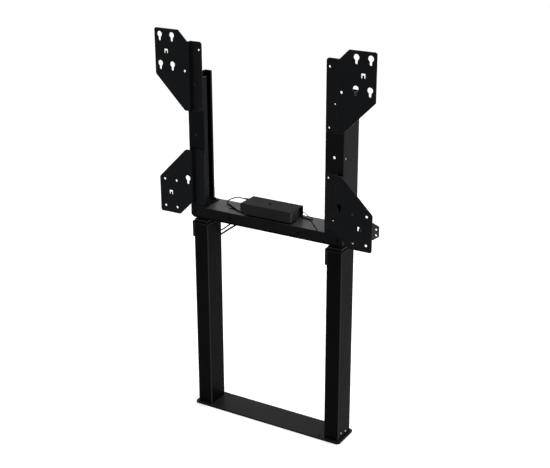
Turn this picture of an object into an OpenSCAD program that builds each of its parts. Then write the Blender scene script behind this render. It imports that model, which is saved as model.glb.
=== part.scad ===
// Motorised display lift: a base plate, two three-stage telescopic columns, a head beam
// with two uprights, and four plates whose holes follow the display mounting grid.
// Millimetres. The origin is on the floor, midway between the columns. +Z is up, the
// display hangs on the -Y side, and the columns stand at -X and +X. Drawn fully lowered.

/* [Base plate] */
// Depth of the base plate, front to back
base_dep = 116; // [104:1:200]
// Thickness of the base plate
base_t = 6; // [4:0.5:12]
// How far the base plate runs past the columns at each end
base_end = 8; // [4:1:60]
// Corner radius of the base plate, seen from above
base_corner_r = 13; // [4:1:20]
// Diameter of the four holes for floor screws
floor_hole_d = 9; // [5:0.5:12]
// Distance from a column's inner face to the floor hole's centre
floor_hole_gap = 19; // [12:1:60]
// Distance from the plate's long edge to the floor hole's centre
floor_hole_inset = 16; // [12:1:30]

/* [Column tubes] */
// Distance between the centre lines of the two columns
col_span = 540; // [440:5:640]
// Width of the outer tube
outer_w = 60; // [60:1:72]
// Depth of the outer tube
outer_d = 90; // [86:1:96]
// Outer corner radius of the outer tube
outer_r = 5; // [4:0.5:7]
// Outer corner radius of the middle and inner tubes
stage_r = 3; // [2.5:0.25:3.5]
// Wall of all three tubes
tube_wall = 2; // [1.5:0.25:2]
// Gap between one tube and the next, filled by the glides
stage_gap = 1.5; // [1:0.1:1.5]
// Height of the outer tube's rim above the floor
outer_h = 730; // [700:5:900]
// Thickness of the plastic rim on the outer tube
rim_t = 3; // [2:0.5:8]
// Height of the glide skirt that hangs from each rim into the gap
skirt_h = 30; // [10:1:60]
// Height of the middle tube that shows above the outer rim when lowered
mid_show = 8; // [5:0.5:20]
// Thickness of the collar on the middle tube
mid_collar_t = 5; // [3:0.5:10]
// Height of the inner tube that shows above the middle collar when lowered
inner_show = 5; // [3:0.5:20]
// Thickness of the plate that closes each inner tube
head_plate_t = 6; // [5:0.5:12]
// How far each collar and head plate stands out past its tube
collar_over = 1.5; // [0.5:0.25:3]
// Thickness of the steel block in the foot of the outer tube
foot_block_t = 8; // [6:0.5:14]
// Height of the glide block under the middle and inner tubes
glide_h = 20; // [12:1:30]

/* [Lift drive] */
// Travel of the head, from lowered to raised
lift_travel = 650; // [400:10:680]
// Outer diameter of the drive spindle's thread
spindle_d = 12; // [8:1:12]
// Bore of the hollow spindle
hollow_bore = 13; // [12.6:0.1:15]
// Outer diameter of the hollow spindle's thread
hollow_d = 20; // [18:0.5:20]
// Bore of the post that carries the lower nut
post_bore = 21; // [20.6:0.2:24]
// Outer diameter of the post that carries the lower nut
post_d = 30; // [27:0.5:30]
// Bore of the middle post
mid_post_bore = 31; // [30.6:0.2:32]
// Outer diameter of the middle post
mid_post_d = 36; // [34:0.5:37]
// Height of each spindle nut
nut_h = 20; // [12:1:30]
// Height of the motor and gearbox inside the inner tube
motor_h = 108; // [90:1:120]
// Diameter of the motor can
motor_d = 36; // [30:1:38]

/* [Switch housing] */
// Depth of the housing on each outer tube's -X face
switch_t = 7; // [4:0.5:16]
// Length of the housing along the tube's face
switch_w = 38; // [20:1:60]
// Height of the housing
switch_h = 60; // [30:1:120]
// How far the housing reaches above the outer rim
switch_rise = 4; // [0:0.5:5]
// Distance from the tube's front face to the housing
switch_inset = 3; // [1:0.5:20]

/* [Head beam] */
// Depth of the beam, front to back
beam_dep = 112; // [104:1:130]
// How far the beam runs past the columns at each end
beam_over = 4; // [2:1:20]
// Height of the beam's folded sides
beam_h = 34.5; // [28:0.5:60]
// Vertical corner radius of the beam
beam_r = 5; // [4:0.5:10]
// Sheet thickness of the beam, tray, uprights and display plates
sheet = 3; // [2:0.25:3.5]
// How far the tray that closes the beam hangs below its sides
tray_drop = 8.5; // [4:0.5:20]
// Height of the tray's walls inside the beam
tray_lap = 20; // [18:1:24]
// Chamfer at each lower end of the tray
tray_chamfer = 8; // [4:0.5:9]
// Diameter of the screws that hold the tray
tray_screw_d = 5; // [3:0.5:6]
// Height of the tray screws above the beam's lower edge
tray_screw_rise = 13; // [8:0.5:14]
// Distance of the inner tray screws from the middle of the beam
tray_screw_x = 137; // [120:1:160]
// Distance of the outer tray screws from the beam's ends
tray_screw_end = 17.5; // [15:0.5:30]

/* [Uprights] */
// Height of the uprights above the beam
upright_h = 470; // [440:5:700]
// Width of the upright's front face
upright_w = 63.5; // [60:0.5:80]
// Outer bend radius of the folded sheets
bend_r = 4; // [3.75:0.25:6]
// Depth of the lip along the left upright's front inner edge
front_lip = 25; // [10:1:40]
// Width of the upright's rear flange
rear_flange = 30; // [20:1:50]
// Depth of the lip along the rear flange's inner edge
rear_lip = 12; // [8:1:30]
// How much further in the right upright's plain front edge lies than the left one's folded edge
plain_edge = 2.3; // [0:0.1:4]
// Diameter of the hole below the upper plate
upright_hole_d = 9.5; // [6:0.5:12]

/* [Display plates] */
// Spacing of the display grid's columns and rows
grid = 50; // [50:50:50]
// Height of the display grid's centre above the beam
display_rise = 289; // [280:1:400]
// Distance from the plates' front face to the uprights' front face
stand_off = 17; // [10:0.5:40]
// Distance of the plates' outer edge from the grid's centre line
plate_out = 421; // [412:1:440]
// Diameter of the display screw holes
screw_hole_d = 9; // [6:0.5:10]
// Diameter of the keyholes' round part
key_d = 20; // [16:0.5:22]
// Height of the keyholes' round part above its seat
key_rise = 17.5; // [14:0.5:20]
// Diameter of the fixing holes in the plates' inner flange
flange_hole_d = 7.5; // [5:0.5:9]
// Diameter of the small fixing holes in the plates' inner flange
small_hole_d = 6.5; // [4:0.5:7]
// Width of the cut-out for cable ties
tie_w = 15; // [12:1:20]
// Height of the cut-out for cable ties
tie_h = 15; // [12:1:22]

/* [Power supply] */
// Length of the cover over the power supply
psu_len = 200; // [190:1:260]
// Depth of the cover
psu_dep = 91; // [84:1:96]
// Height of the cover
psu_h = 42; // [36:1:60]
// Sheet thickness of the cover
psu_sheet = 1.5; // [1:0.25:3]
// Distance of the cover's middle from the beam's middle, to the right
psu_shift = 2; // [0:0.5:3]
// Diameter of the screw head on the cover
psu_screw_d = 9; // [6:0.5:12]

/* [Rear lugs] */
// How far the lug's outer edge stands out past the upright
lug_reach = 82.5; // [76:0.5:110]
// Height of the lug where it is bolted to the upright
lug_root_h = 36; // [34:1:60]
// Height of the lug's outer edge
lug_end_h = 37; // [34:1:44]
// How far the lug's outer part hangs below the beam's top
lug_hang = 41; // [38:1:60]
// Gap between the upright's outer face and the lug's hanging part
lug_clear = 8; // [4:1:20]
// Diameter of the lug's two outer holes
lug_hole_d = 7; // [4:0.5:9]
// Distance between the lug's two outer holes
lug_hole_gap = 20.5; // [12:0.5:24]

/* [Leads] */
// Diameter of the power lead
power_lead_d = 4; // [3.6:0.2:4.4]
// Diameter of the thin signal lead
signal_lead_d = 2.4; // [2:0.2:3]
// Diameter of the upper lead that hangs behind the left column
upper_lead_d = 5; // [4:0.2:5.6]
// Diameter of the lower lead that hangs behind the left column
lower_lead_d = 6.4; // [5:0.2:6.6]
// How much wider than the power lead its hole in the beam's top is
power_lead_room = 5; // [4:0.5:6]
// How much wider than the signal lead its hole in the beam's top is
signal_lead_room = 4; // [3.5:0.5:4.5]
// How much wider than each column lead its holes in the tray and saddle are
column_lead_room = 1; // [0.6:0.2:1]

/* [Hidden] */

// Signs of the two sides
left = -1;
right = 1;
sides = [left, right];

// Clearances
glide_fit = 0.3;     // between a glide and the tube that slides past it
weld_fit = 0.1;      // between a plug or tray and the sheet round it
bolt_fit = 0.1;      // round a bolt's shank, on the radius
seat_gap = 0.5;      // between the saddles' rounded corners and the tray's chamfers
thread_fit = 0.05;   // between a spindle and its nut, on the radius

// Round forms
arc_steps = 8;
$fn = 48;
cut = 1;             // how far a cutting body runs past the face it cuts

// Colours
black = [0.085, 0.088, 0.095];
plastic = [0.05, 0.05, 0.055];
black_screw = [0.07, 0.07, 0.075];
zinc = [0.55, 0.56, 0.58];
steel = [0.62, 0.63, 0.65];
bronze = [0.72, 0.55, 0.30];

// Column sections, from the outer tube inwards
outer_in_w = outer_w - 2 * tube_wall;
outer_in_d = outer_d - 2 * tube_wall;
mid_w = outer_in_w - 2 * stage_gap;
mid_d = outer_in_d - 2 * stage_gap;
mid_in_w = mid_w - 2 * tube_wall;
mid_in_d = mid_d - 2 * tube_wall;
inner_w = mid_in_w - 2 * stage_gap;
inner_d = mid_in_d - 2 * stage_gap;
inner_in_w = inner_w - 2 * tube_wall;
inner_in_d = inner_d - 2 * tube_wall;
col_x = col_span / 2;

// Column levels, from the floor up
foot_top = base_t + foot_block_t;
mid_foot_z = foot_top + glide_fit;
mid_tube_z = mid_foot_z + glide_h;
inner_foot_z = mid_tube_z + glide_fit;
inner_tube_z = inner_foot_z + glide_h;
mid_top = outer_h + mid_show;
mid_collar_top = mid_top + mid_collar_t;
inner_top = mid_collar_top + inner_show;
head_z = inner_top + head_plate_t;

// Foot bolts
foot_bolt_d = 6;
foot_head_d = 11;
foot_head_h = 3;
foot_head_sink = 0.5;
foot_bolt_inset = [9, 10];

// Drive levels
motor_z = inner_top - motor_h;
motor_gap = 30;       // from the upper nut to the motor
hollow_gap = 5;       // from the hollow spindle to the upper nut
hollow_rise = 26;     // from the foot block to the hollow spindle
thread_spare = 20;    // thread left beyond each nut at full travel
mid_nut_top = motor_z - motor_gap;
mid_post_top = mid_nut_top - nut_h;
bearing_h = 6;
hollow_flange_h = 6;
hollow_top = mid_post_top - hollow_gap;
bearing_top = hollow_top - hollow_flange_h;
hollow_z = foot_top + hollow_rise;
post_nut_z = hollow_z + lift_travel / 2 + thread_spare;
drive_z = hollow_top - lift_travel / 2 - thread_spare;

// Beam
beam_len = col_span + outer_w + 2 * beam_over;
beam_z = head_z + tray_drop;
beam_top = beam_z + beam_h;
beam_front = -beam_dep / 2;
beam_back = beam_dep / 2;
beam_in_r = max(beam_r - sheet, 0.5);
tray_len = beam_len - 2 * sheet - 2 * weld_fit;
tray_dep = beam_dep - 2 * sheet - 2 * weld_fit;
tray_head_d = 1.8 * tray_screw_d;
tray_head_t = 1.5;
bolt_d = 8;
bolt_head_d = 14;
bolt_head_h = 5;
head_bolt_x = 10.5;
head_bolt_y = 27;
saddle_w = 2 * (tray_len / 2 - sheet - tray_chamfer - col_x + bend_r / 2 - seat_gap);
saddle_inset = 5;
saddle_dep = tray_dep - 2 * saddle_inset;
saddle_h = beam_top - sheet - (head_z + sheet);

// Control box inside the beam, with a socket in its left end
control_w = 180;
control_dep = 74;
control_r = 4;
control_gap = 6;
socket_w = 30;
socket_h = 14;
socket_deep = 4;
socket_rise = 8;

// Uprights
upright_out = beam_len / 2 - 1;
upright_in = upright_out - upright_w;
upright_top = beam_top + upright_h;
foot_plate_t = 4;
foot_clear = 3;
// Holes in each upright's outer web: depth, height from the display grid's centre, diameter
web_holes = [[-34, -29, 9], [5, -5, 4.5], [5, -17, 4.5]];
upright_bolt_x = [upright_out - 43, upright_out - 23];
upright_bolt_y = 34;

// Rear lugs
lug_out = upright_out + lug_reach;
lug_root_rise = 3;
lug_root_inset = 3;
lug_low_chamfer = 12;
lug_bolt_inset = 8;
lug_hole_drop = 4;
lug_end_rise = 15;
lug_taper = 21;
lug_hole_inset = 11;
lug_bolt_d = 6;
lug_head_d = 11;
lug_head_h = 4;
lug_nut_t = 5;

// Display plates, with heights from the grid's centre
display_z = beam_top + display_rise;
plate_front = beam_front - stand_off;
flange_in = upright_in - 1;
joggle_x = upright_in + 42;
upper_top = 339;
upper_flange_top = 303;
upper_bottom = 61.5;
upper_slant_z = 179;
upper_slant_x = plate_out - (upper_slant_z - upper_bottom);
upper_chamfer_x = joggle_x + 6.5;
lower_top = -78;
lower_bottom = -323;
lower_slant_z = -193;
lower_slant_x = plate_out + lower_slant_z - lower_top;
lower_flange_bottom = -274;
plate_corner_r = 7;
flange_corner_r = 10;
key_seats = [[8, 6], [7, 6], [8, 4], [7, 4]];
upper_round = [6, 4];
lower_rounds = [[8, -4], [7, -4], [8, -6], [7, -6]];
lower_key = [6, -4];
tie_x = 7.5 * grid;
upper_tie_z = 261;
lower_tie_z = -247;
near_hole_x = upright_in + 10.5;
far_hole_x = upright_in + 30.5;
upper_free_hole_z = 275;
upper_near_z = 74.5;
upper_far_z = 155;
lower_near_z = -95;
lower_far_z = -242;
middle_hole_z = -24;

// Power supply cover and unit
psu_left = psu_shift - psu_len / 2;
psu_right = psu_left + psu_len;
psu_y = -4.5;
psu_front = psu_y - psu_dep / 2;
psu_back = psu_front + psu_dep;
psu_top = beam_top + psu_h;
unit_inset = 12;
unit_gap = 1.5;
unit_r = 2;
psu_screw_at = [-4, -5];
psu_thread_d = 4;
psu_head_t = 2;
psu_corner_r = 3;
// Width of the flange that closes the front of the cover's right end
psu_flange_w = 14;
// Corner cut off the foot of the cover's front at its left end, along the beam and upwards
psu_notch = [27, 15];

// Route of the power lead, from the strain relief to the hole in the beam's top
power_route = [[-130, 31, 826], [-142, 31, 826], [-155, 31.8, 825.8], [-167, 33, 823.2], [-178, 34, 819],
    [-187.5, 33.8, 814.4], [-195.9, 32.2, 809.7], [-198.8, 29.9, 806.5], [-199.7, 26.4, 803.1],
    [-198.2, 22.6, 800.6], [-194.8, 19.3, 799.6], [-185.7, 14.4, 799.3], [-158.6, -3.2, 799.3],
    [-143, -13.7, 799.3], [-128, -23, 799.3], [-114, -29.2, 799.3], [-97.6, -34.2, 799.2],
    [-94.3, -35.2, 798.5], [-91.5, -36.1, 796.6], [-89.7, -36.7, 793.6], [-89, -36.9, 788.6]];
power_hole = [-91.3, -36.2];
// Route of the signal lead: out of the cover, a slack loop, and on to the hole near the beam's front
signal_route = [[90, 36, 818], [96, 36, 818], [106, 36.8, 815.4], [114, 37.6, 811], [122, 38, 806],
    [130, 37.8, 802.4], [137, 37.2, 799.8], [142.4, 35.4, 798.6], [145.4, 31.4, 798.5], [143, 27, 798.5],
    [137.4, 26.4, 798.5], [130, 29.6, 798.5], [114, 35.8, 798.5], [108, 34.6, 798.5], [105.2, 30, 798.5],
    [107.8, 25.4, 798.5], [114, 23.8, 798.5], [133, 23.8, 798.5], [141, 20, 798.5], [150, 13, 798.5],
    [166, -5, 798.5], [200, -42, 798.5], [204.7, -47.3, 798.5], [206.4, -49, 797.9], [207.6, -50.2, 796.1],
    [208.1, -50.7, 793.6], [208.1, -50.7, 790]];
signal_hole = [207.2, -49.6];
// Routes of the two leads that hang behind the left column, from its saddle to the tray
upper_lead_route = [[-262, 45, 761], [-262, 45, 752], [-262, 46.4, 745], [-262, 49, 735.5],
    [-263.4, 49.6, 703], [-261, 49.6, 690.4], [-254.5, 49.6, 681.4], [-245, 49.6, 679.6],
    [-236, 49.6, 685], [-222, 49.6, 696.2], [-205, 49.5, 710], [-189, 49, 724.6],
    [-178, 48, 738], [-173, 46.6, 747.6], [-172, 45.8, 753], [-172, 45.8, 758]];
lower_lead_route = [[-278, 45, 761], [-278, 45, 752], [-278, 46.4, 745], [-278, 49, 735.5],
    [-278.6, 49.6, 702], [-276.6, 49.6, 685], [-272, 49.6, 671.6], [-263.5, 49.6, 662], [-252, 49.6, 660],
    [-241, 49.6, 666.4], [-226, 49.6, 677.8], [-207, 49.6, 692.2], [-188, 49.4, 705.6],
    [-168, 48.8, 721.4], [-155.4, 47.6, 737], [-149.4, 46.4, 747], [-148, 45.8, 753], [-148, 45.8, 758]];
// Route and diameter of each
column_leads = [[upper_lead_route, upper_lead_d], [lower_lead_route, lower_lead_d]];

// Functions

function unit(v) = v / norm(v);

// Points of the arc that rounds one corner of an outline
function corner_arc(before, at, after, r) =
    let (
        to_before = unit(before - at),
        to_after = unit(after - at),
        half = acos(to_before * to_after) / 2,
        centre = at + unit(to_before + to_after) * r / sin(half),
        start = at + to_before * r / tan(half),
        finish = at + to_after * r / tan(half),
        a0 = atan2(start.y - centre.y, start.x - centre.x),
        a1 = atan2(finish.y - centre.y, finish.x - centre.x),
        turn = (a1 - a0 + 540) % 360 - 180
    )
    [for (i = [0 : arc_steps]) centre + r * [cos(a0 + turn * i / arc_steps),
            sin(a0 + turn * i / arc_steps)]];

// Outline with each corner rounded by the radius of the same number
function rounded(points, radii) =
    let (n = len(points))
    [for (i = [0 : n - 1])
        each (radii[i] > 0
            ? corner_arc(points[(i + n - 1) % n], points[i], points[(i + 1) % n], radii[i])
            : [points[i]])];

// Rectangle about the origin with equally rounded corners
function rounded_rect(w, d, r) =
    rounded([[-w / 2, -d / 2], [w / 2, -d / 2], [w / 2, d / 2], [-w / 2, d / 2]], [r, r, r, r]);

// Direction of a route at one of its points
function heading(route, i) =
    unit(route[min(i + 1, len(route) - 1)] - route[max(i - 1, 0)]);

// Ring of points round a route at one of its points
function ring(route, i, r, sides_count) =
    let (
        along = heading(route, i),
        across = unit(cross(along, [0.31, -0.87, 0.38])),
        over = cross(along, across)
    )
    [for (k = [0 : sides_count - 1])
        route[i] + r * (cos(360 * k / sides_count) * across + sin(360 * k / sides_count) * over)];

// Shared shapes

// Round tube along a route
module lead(route, d, sides_count) {
    n = len(route);
    points = [for (i = [0 : n - 1]) each ring(route, i, d / 2, sides_count)];
    walls = [for (i = [0 : n - 2], k = [0 : sides_count - 1])
        let (a = i * sides_count, b = a + sides_count, m = (k + 1) % sides_count)
        each [[a + k, b + m, a + m], [a + k, b + k, b + m]]];
    start_cap = [[for (k = [0 : sides_count - 1]) k]];
    end_cap = [[for (k = [sides_count - 1 : -1 : 0]) (n - 1) * sides_count + k]];
    polyhedron(points, concat(walls, start_cap, end_cap));
}

module box_tube(w, d, r, wall, bottom, top) {
    translate([0, 0, bottom])
        linear_extrude(top - bottom)
            difference() {
                polygon(rounded_rect(w, d, r));
                polygon(rounded_rect(w - 2 * wall, d - 2 * wall, max(r - wall, 0.5)));
            }
}

module slab(w, d, r, bottom, top) {
    translate([0, 0, bottom])
        linear_extrude(top - bottom)
            polygon(rounded_rect(w, d, r));
}

module rod(d, bottom, top) {
    translate([0, 0, bottom])
        cylinder(d = d, h = top - bottom);
}

module pipe(d, bore, bottom, top) {
    difference() {
        rod(d, bottom, top);
        rod(bore, bottom - cut, top + cut);
    }
}

// Extrudes a front-view outline, drawn as x and z, from one depth to another
module front_view(outline, from_y, to_y) {
    translate([0, to_y, 0])
        rotate([90, 0, 0])
            linear_extrude(to_y - from_y)
                polygon(outline);
}

// Round cutting body along Y at a point of the front view
module front_hole(x, z, d) {
    translate([x, -beam_dep, z])
        rotate([-90, 0, 0])
            cylinder(d = d, h = 2 * beam_dep);
}

module at_column(side) {
    translate([side * col_x, 0, 0])
        children();
}

// Mirrors right-hand geometry for the left side
module on_side(side) {
    mirror([side == left ? 1 : 0, 0, 0])
        children();
}

// Hexagon-headed bolt pointing down, with its head's underside at z = 0
module bolt(d, head_d, head_h, length) {
    cylinder(d = head_d, h = head_h, $fn = 6);
    translate([0, 0, -length])
        cylinder(d = d, h = length + cut / 2);
}

// Base

module floor_holes() {
    for (side = sides, end = [-1, 1])
        translate([side * (col_x - outer_w / 2 - floor_hole_gap),
                end * (base_dep / 2 - floor_hole_inset), -cut])
            cylinder(d = floor_hole_d, h = base_t + 2 * cut);
}

// Places the children at the foot bolts of both columns
module at_foot_bolts() {
    for (side = sides, x = [-1, 1], y = [-1, 1])
        translate([side * col_x + x * (outer_in_w / 2 - foot_bolt_inset.x),
                y * (outer_in_d / 2 - foot_bolt_inset.y), 0])
            children();
}

module base_plate() {
    color(black)
        difference() {
            slab(col_span + outer_w + 2 * base_end, base_dep, base_corner_r, 0, base_t);
            floor_holes();
            at_foot_bolts() {
                translate([0, 0, -cut])
                    cylinder(d = foot_bolt_d + 2 * bolt_fit, h = base_t + 2 * cut);
                translate([0, 0, -cut])
                    cylinder(d = foot_head_d + 2 * bolt_fit, h = foot_head_h + cut);
            }
        }
}

module foot_blocks() {
    color(steel)
        difference() {
            for (side = sides)
                at_column(side)
                    slab(outer_in_w - 2 * weld_fit, outer_in_d - 2 * weld_fit, outer_r - tube_wall,
                            base_t, foot_top);
            at_foot_bolts()
                cylinder(d = foot_bolt_d + 2 * bolt_fit, h = foot_top + cut);
        }
}

module foot_bolts() {
    color(zinc)
        at_foot_bolts() {
            rod(foot_head_d, foot_head_sink, foot_head_h);
            rod(foot_bolt_d, foot_head_h - foot_head_sink, foot_top - foot_head_sink);
        }
}

// Outer stage

module outer_tube(side) {
    color(black)
        at_column(side)
            box_tube(outer_w, outer_d, outer_r, tube_wall, base_t, outer_h - rim_t);
}

// Rim with a glide skirt: flat ring of one size over a skirt that fills the gap between two tubes
module glide_rim(w, d, r, gap_w, gap_d, gap_r, tube_w, tube_d, bottom, top) {
    difference() {
        union() {
            slab(w, d, r, bottom, top);
            slab(gap_w, gap_d, gap_r, bottom - skirt_h, bottom);
        }
        slab(tube_w + 2 * glide_fit, tube_d + 2 * glide_fit, stage_r + glide_fit, bottom - skirt_h - cut,
                top + cut);
    }
}

module outer_rim(side) {
    color(plastic)
        at_column(side)
            glide_rim(outer_w, outer_d, outer_r, outer_in_w, outer_in_d, outer_r - tube_wall,
                mid_w, mid_d, outer_h - rim_t, outer_h);
}

module switch_housing(side) {
    wall = 1.5;
    color(plastic)
        translate([side * col_x - outer_w / 2 - switch_t, -outer_d / 2 + switch_inset,
                outer_h + switch_rise - switch_h])
            difference() {
                front_view(rounded([[0, 0], [switch_t, 0], [switch_t, switch_h], [0, switch_h]], [2, 0,
                        0, 2]), 0, switch_w);
                translate([wall, wall, wall])
                    cube([switch_t - wall + cut, switch_w - 2 * wall, switch_h - 2 * wall - switch_rise]);
            }
}

module nut_post(side) {
    color(steel)
        at_column(side)
            pipe(post_d, post_bore, foot_top, post_nut_z);
}

module post_nuts() {
    color(bronze)
        for (side = sides)
            at_column(side)
                pipe(post_d, hollow_d + 2 * thread_fit, post_nut_z, post_nut_z + nut_h);
}

// Middle stage

module middle_tube(side) {
    color(black)
        at_column(side)
            box_tube(mid_w, mid_d, stage_r, tube_wall, mid_tube_z, mid_top);
}

module middle_collar(side) {
    color(plastic)
        at_column(side)
            glide_rim(mid_w + 2 * collar_over, mid_d + 2 * collar_over, stage_r + collar_over,
                mid_in_w, mid_in_d, max(stage_r - tube_wall, 0.5), inner_w, inner_d, mid_top,
                        mid_collar_top);
}

module middle_foot(side) {
    color(plastic)
        at_column(side)
            difference() {
                slab(outer_in_w - 2 * glide_fit, outer_in_d - 2 * glide_fit, outer_r - tube_wall,
                        mid_foot_z, mid_tube_z);
                rod(post_d + 2 * glide_fit, mid_foot_z - cut, mid_tube_z + cut);
            }
}

module middle_post(side) {
    color(steel)
        at_column(side)
            pipe(mid_post_d, mid_post_bore, mid_tube_z, mid_post_top);
}

module middle_nut(side) {
    color(bronze)
        at_column(side)
            pipe(mid_post_d, spindle_d + 2 * thread_fit, mid_post_top, mid_nut_top);
}

module spindle_bearing(side) {
    color(steel)
        at_column(side)
            pipe(mid_post_bore, hollow_d + 2 * thread_fit, bearing_top - bearing_h, bearing_top);
}

module hollow_spindle(side) {
    color(steel)
        at_column(side)
            difference() {
                union() {
                    rod(hollow_d, hollow_z, hollow_top);
                    rod(mid_post_bore - 2 * glide_fit, bearing_top + thread_fit, hollow_top);
                }
                rod(hollow_bore, hollow_z - cut, hollow_top + cut);
            }
}

// Inner stage

module inner_tube(side) {
    color(black)
        at_column(side)
            box_tube(inner_w, inner_d, stage_r, tube_wall, inner_tube_z, inner_top);
}

module inner_feet() {
    color(plastic)
        for (side = sides)
            at_column(side)
                difference() {
                    slab(mid_in_w - 2 * glide_fit, mid_in_d - 2 * glide_fit, stage_r, inner_foot_z,
                            inner_tube_z);
                    rod(mid_post_d + 2 * glide_fit, inner_foot_z - cut, inner_tube_z + cut);
                }
}

module drive_spindle(side) {
    color(steel)
        at_column(side)
            rod(spindle_d, drive_z, motor_z - glide_fit);
}

module gearmotor(side) {
    gearbox_h = 44;
    gearbox_inset = 4;
    gearbox_r = 4;
    color(zinc)
        at_column(side) {
            slab(inner_in_w - 2 * glide_fit, inner_in_d - 2 * gearbox_inset, gearbox_r, motor_z,
                    motor_z + gearbox_h);
            rod(motor_d, motor_z + gearbox_h, inner_top);
        }
}

// Places the children at the four bolts of each head plate
module at_head_bolts() {
    for (side = sides, x = [-1, 1], y = [-1, 1])
        translate([side * col_x + x * head_bolt_x, y * head_bolt_y, 0])
            children();
}

module head_plates() {
    color(black)
        difference() {
            for (side = sides)
                at_column(side)
                    slab(inner_w + 4 * collar_over, inner_d + 4 * collar_over, stage_r + collar_over,
                            inner_top, head_z);
            at_head_bolts()
                rod(bolt_d + 2 * bolt_fit, inner_top - cut, head_z + cut);
        }
}

module head_bolts() {
    color(zinc)
        at_head_bolts()
            translate([0, 0, head_z + 2 * sheet])
                bolt(bolt_d, bolt_head_d, bolt_head_h, 2 * sheet + head_plate_t);
}

// Head beam

// Places the children at the four bolts of each upright
module at_upright_bolts() {
    for (side = sides, x = upright_bolt_x, y = [-1, 1])
        translate([side * x, y * upright_bolt_y, 0])
            children();
}

module at_tray_screws() {
    for (x = [tray_screw_x, beam_len / 2 - tray_screw_end], side = sides, y = [-1, 1])
        translate([side * x, y * beam_dep / 2, beam_z + tray_screw_rise])
            rotate([y * 90, 0, 0])
                children();
}

// Places the children at the two bolts of each rear lug
module at_lug_bolts() {
    for (side = sides, z = [lug_root_rise + lug_bolt_inset, lug_root_rise + lug_root_h - lug_bolt_inset])
        translate([side * (upright_out - rear_flange / 2), beam_back, beam_top + z])
            children();
}

module beam() {
    color(black)
        difference() {
            slab(beam_len, beam_dep, beam_r, beam_z, beam_top);
            slab(beam_len - 2 * sheet, beam_dep - 2 * sheet, beam_in_r, beam_z - cut, beam_top - sheet);
            at_upright_bolts()
                rod(bolt_d + 2 * bolt_fit, beam_top - sheet - cut, beam_top + cut);
            at_tray_screws()
                rod(tray_screw_d + 2 * bolt_fit, -cut, sheet + cut);
            translate([power_hole.x, power_hole.y, 0])
                rod(power_lead_d + power_lead_room, beam_top - sheet - cut, beam_top + cut);
            translate([signal_hole.x, signal_hole.y, 0])
                rod(signal_lead_d + signal_lead_room, beam_top - sheet - cut, beam_top + cut);
        }
}

// Side view of the tray with its lower end corners cut off
function tray_side(inset, top) =
    let (
        x = tray_len / 2 - inset,
        bottom = head_z + inset,
        c = tray_chamfer
    )
    [[-x, top], [-x, bottom + c], [-x + c, bottom], [x - c, bottom], [x, bottom + c], [x, top]];

module beam_tray() {
    color(black)
        difference() {
            intersection() {
                front_view(tray_side(0, beam_z + tray_lap), -tray_dep / 2, tray_dep / 2);
                slab(tray_len, tray_dep, beam_in_r, head_z - cut, beam_top);
            }
            front_view(tray_side(sheet, beam_z + tray_lap + cut), -tray_dep / 2 + sheet,
                    tray_dep / 2 - sheet);
            at_head_bolts()
                rod(bolt_d + 2 * bolt_fit, head_z - cut, head_z + sheet + cut);
            at_tray_screws()
                rod(tray_screw_d + 2 * bolt_fit, 0, 2 * sheet + 2 * cut);
            for (pair = column_leads)
                for (at = [pair[0][0], pair[0][len(pair[0]) - 1]])
                    translate([at.x, at.y, 0])
                        rod(pair[1] + column_lead_room, head_z - cut, head_z + sheet + cut);
        }
}

module tray_screws() {
    color(black_screw)
        at_tray_screws() {
            rod(tray_screw_d, -0.5 * tray_head_t, 2 * sheet + weld_fit);
            rod(tray_head_d, -tray_head_t, 0);
        }
}

// Slot for one lead in a saddle's floor, open to the back
module lead_slot(at, width) {
    translate([at.x, at.y, 0])
        rod(width, head_z, head_z + 3 * sheet);
    translate([at.x - width / 2, at.y, head_z])
        cube([width, saddle_dep / 2, 3 * sheet]);
}

// Rounded box along Y at the saddles' height
module saddle_box(w, h, r, half_dep) {
    middle = head_z + sheet + saddle_h / 2;
    front_view([for (p = rounded_rect(w, h, r)) p + [0, middle]], -half_dep, half_dep);
}

module saddles() {
    color(black)
        difference() {
            for (side = sides)
                at_column(side)
                    saddle_box(saddle_w, saddle_h, bend_r, saddle_dep / 2);
            for (side = sides)
                at_column(side)
                    saddle_box(saddle_w - 2 * sheet, saddle_h - 2 * sheet, bend_r - sheet,
                        saddle_dep / 2 + cut);
            at_head_bolts()
                rod(bolt_d + 2 * bolt_fit, head_z, head_z + 3 * sheet);
            at_upright_bolts()
                rod(bolt_d + 2 * bolt_fit, beam_top - 3 * sheet, beam_top);
            for (pair = column_leads)
                lead_slot(pair[0][0], pair[1] + column_lead_room);
        }
}

module control_box() {
    color(plastic)
        difference() {
            slab(control_w, control_dep, control_r, head_z + sheet, beam_top - sheet - control_gap);
            translate([-control_w / 2 - cut, -socket_w / 2, head_z + sheet + socket_rise])
                cube([socket_deep + cut, socket_w, socket_h]);
        }
}

// Uprights

// Section of an upright as it would stand on the right, seen from above. Only the left one has a front lip.
function upright_section(side) =
    let (
        f = beam_front,
        b = beam_back,
        t = sheet,
        o = upright_out,
        i = upright_in,
        back_in = o - rear_flange,
        inner_r = bend_r - t,
        rest = [[o, f], [o, b], [back_in, b], [back_in, b - rear_lip], [back_in + t, b - rear_lip],
            [back_in + t, b - t], [o - t, b - t], [o - t, f + t]],
        rest_radii = [bend_r, bend_r, bend_r, 0, 0, inner_r, inner_r, inner_r]
    )
    side == left
        ? rounded([[i, f], each rest, [i + t, f + t], [i + t, f + front_lip], [i, f + front_lip]],
            [bend_r, each rest_radii, inner_r, 0, 0])
        : rounded([[i - plain_edge, f], each rest, [i - plain_edge, f + t]], [0, each rest_radii, 0]);

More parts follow.
